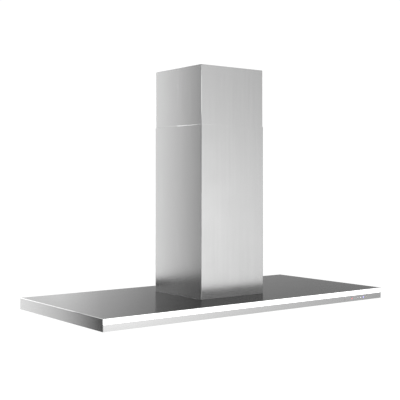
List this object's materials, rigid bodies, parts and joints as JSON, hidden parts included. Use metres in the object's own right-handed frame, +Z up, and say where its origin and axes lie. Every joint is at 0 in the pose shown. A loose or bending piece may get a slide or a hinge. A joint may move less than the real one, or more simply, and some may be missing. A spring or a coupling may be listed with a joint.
{
  "type": "island range hood",
  "caption": "Ceiling-hung island range hood: flat slab canopy with a lit front edge and touch controls, under a telescoping square duct cover.",
  "frame": {"origin": "centre of the ceiling bracket's top face, which lies against the ceiling, on the duct's axis", "axes": "+X along the canopy's length towards the touch controls, -Y towards the front edge, +Z up into the ceiling"},
  "size_m": [1.2, 0.555, 0.8305],
  "materials": {
    "stainless_cover": "fine brushed stainless steel",
    "stainless_canopy": "fine brushed stainless steel, glossy",
    "opal_acrylic": "lit opal diffuser",
    "touch_lens": "clear light guide with lit icons",
    "aluminium": "satin",
    "aluminium_mesh": "layered expanded mesh",
    "galvanised": "galvanised sheet with faint spangle",
    "steel": "machined steel",
    "black_plastic": "moulded, fine texture",
    "grey_plastic": "moulded, fine texture",
    "circuit_board": "green solder mask"
  },
  "bodies": {
    "hood": {"canopy_shell": "stainless_canopy", "bottom_panel": "stainless_canopy", "front_fascia": "stainless_canopy", "light_diffuser": "opal_acrylic", "light_channel": "aluminium", "led_strip": "circuit_board", "touch_lens": "touch_lens", "touch_board": "circuit_board", "ceiling_bracket": "galvanised", "base_frame": "galvanised", "brace_left": "galvanised", "brace_right": "galvanised", "motor_box": "galvanised", "outlet_collar": "galvanised", "flap_pin": "steel", "blower_scroll": "black_plastic", "inlet_plate": "black_plastic", "motor": "steel", "run_capacitor": "grey_plastic", "control_box": "grey_plastic", "control_lid": "grey_plastic", "control_board": "circuit_board", "led_driver": "grey_plastic", "junction_box": "grey_plastic", "cable_gland": "black_plastic", "upper_post_front_left": "galvanised", "lower_post_front_left": "galvanised", "lamp_front_left_housing": "stainless_canopy", "lamp_front_left_lens": "opal_acrylic", "upper_post_front_right": "galvanised", "lower_post_front_right": "galvanised", "lamp_front_right_housing": "stainless_canopy", "lamp_front_right_lens": "opal_acrylic", "upper_post_back_left": "galvanised", "lower_post_back_left": "galvanised", "lamp_back_left_housing": "stainless_canopy", "lamp_back_left_lens": "opal_acrylic", "upper_post_back_right": "galvanised", "lower_post_back_right": "galvanised", "lamp_back_right_housing": "stainless_canopy", "lamp_back_right_lens": "opal_acrylic"},
    "lower_cover": {"lower_cover_front": "stainless_cover", "lower_cover_back": "stainless_cover"},
    "upper_cover": {"upper_cover_front": "stainless_cover", "upper_cover_back": "stainless_cover"},
    "impeller": {"impeller": "black_plastic", "motor_shaft": "steel"},
    "flap_front": {"flap_front": "aluminium"},
    "flap_back": {"flap_back": "aluminium"},
    "filter_left": {"filter_left_frame": "aluminium", "filter_left_mesh": "aluminium_mesh"},
    "filter_left_latch": {"filter_left_latch": "black_plastic"},
    "filter_middle": {"filter_middle_frame": "aluminium", "filter_middle_mesh": "aluminium_mesh"},
    "filter_middle_latch": {"filter_middle_latch": "black_plastic"},
    "filter_right": {"filter_right_frame": "aluminium", "filter_right_mesh": "aluminium_mesh"},
    "filter_right_latch": {"filter_right_latch": "black_plastic"}
  },
  "joints": [
    {"name": "upper_cover_slide", "type": "slide", "parent": "hood", "child": "upper_cover", "axis": [0, 0, -1], "range_m": [0, 0.18]},
    {"name": "lower_cover_lift", "type": "slide", "parent": "hood", "child": "lower_cover", "axis": [0, 0, 1], "range_m": [0, 0.18]},
    {"name": "filter_left_hinge", "type": "hinge", "parent": "hood", "child": "filter_left", "pos_m": [-0.332, 0.199, -0.828], "axis": [1, 0, 0], "range_deg": [0, 80]},
    {"name": "filter_left_latch_slide", "type": "slide", "parent": "filter_left", "child": "filter_left_latch", "axis": [0, 1, 0], "range_m": [0, 0.006], "stiffness_N_per_m": 300},
    {"name": "filter_middle_hinge", "type": "hinge", "parent": "hood", "child": "filter_middle", "pos_m": [0, 0.199, -0.828], "axis": [1, 0, 0], "range_deg": [0, 80]},
    {"name": "filter_middle_latch_slide", "type": "slide", "parent": "filter_middle", "child": "filter_middle_latch", "axis": [0, 1, 0], "range_m": [0, 0.006], "stiffness_N_per_m": 300},
    {"name": "filter_right_hinge", "type": "hinge", "parent": "hood", "child": "filter_right", "pos_m": [0.332, 0.199, -0.828], "axis": [1, 0, 0], "range_deg": [0, 80]},
    {"name": "filter_right_latch_slide", "type": "slide", "parent": "filter_right", "child": "filter_right_latch", "axis": [0, 1, 0], "range_m": [0, 0.006], "stiffness_N_per_m": 300},
    {"name": "impeller_spin", "type": "hinge", "parent": "hood", "child": "impeller", "pos_m": [0, -0.02, -0.6637], "axis": [1, 0, 0], "continuous": true},
    {"name": "flap_back_hinge", "type": "hinge", "parent": "hood", "child": "flap_back", "pos_m": [0, 0, -0.5135], "axis": [1, 0, 0], "range_deg": [0, 75]},
    {"name": "flap_front_hinge", "type": "hinge", "parent": "hood", "child": "flap_front", "pos_m": [0, 0, -0.5135], "axis": [-1, 0, 0], "range_deg": [0, 75]}
  ],
  "couplings": [
    {"joint": "flap_front_hinge", "follows": "flap_back_hinge", "ratio": 1}
  ]
}
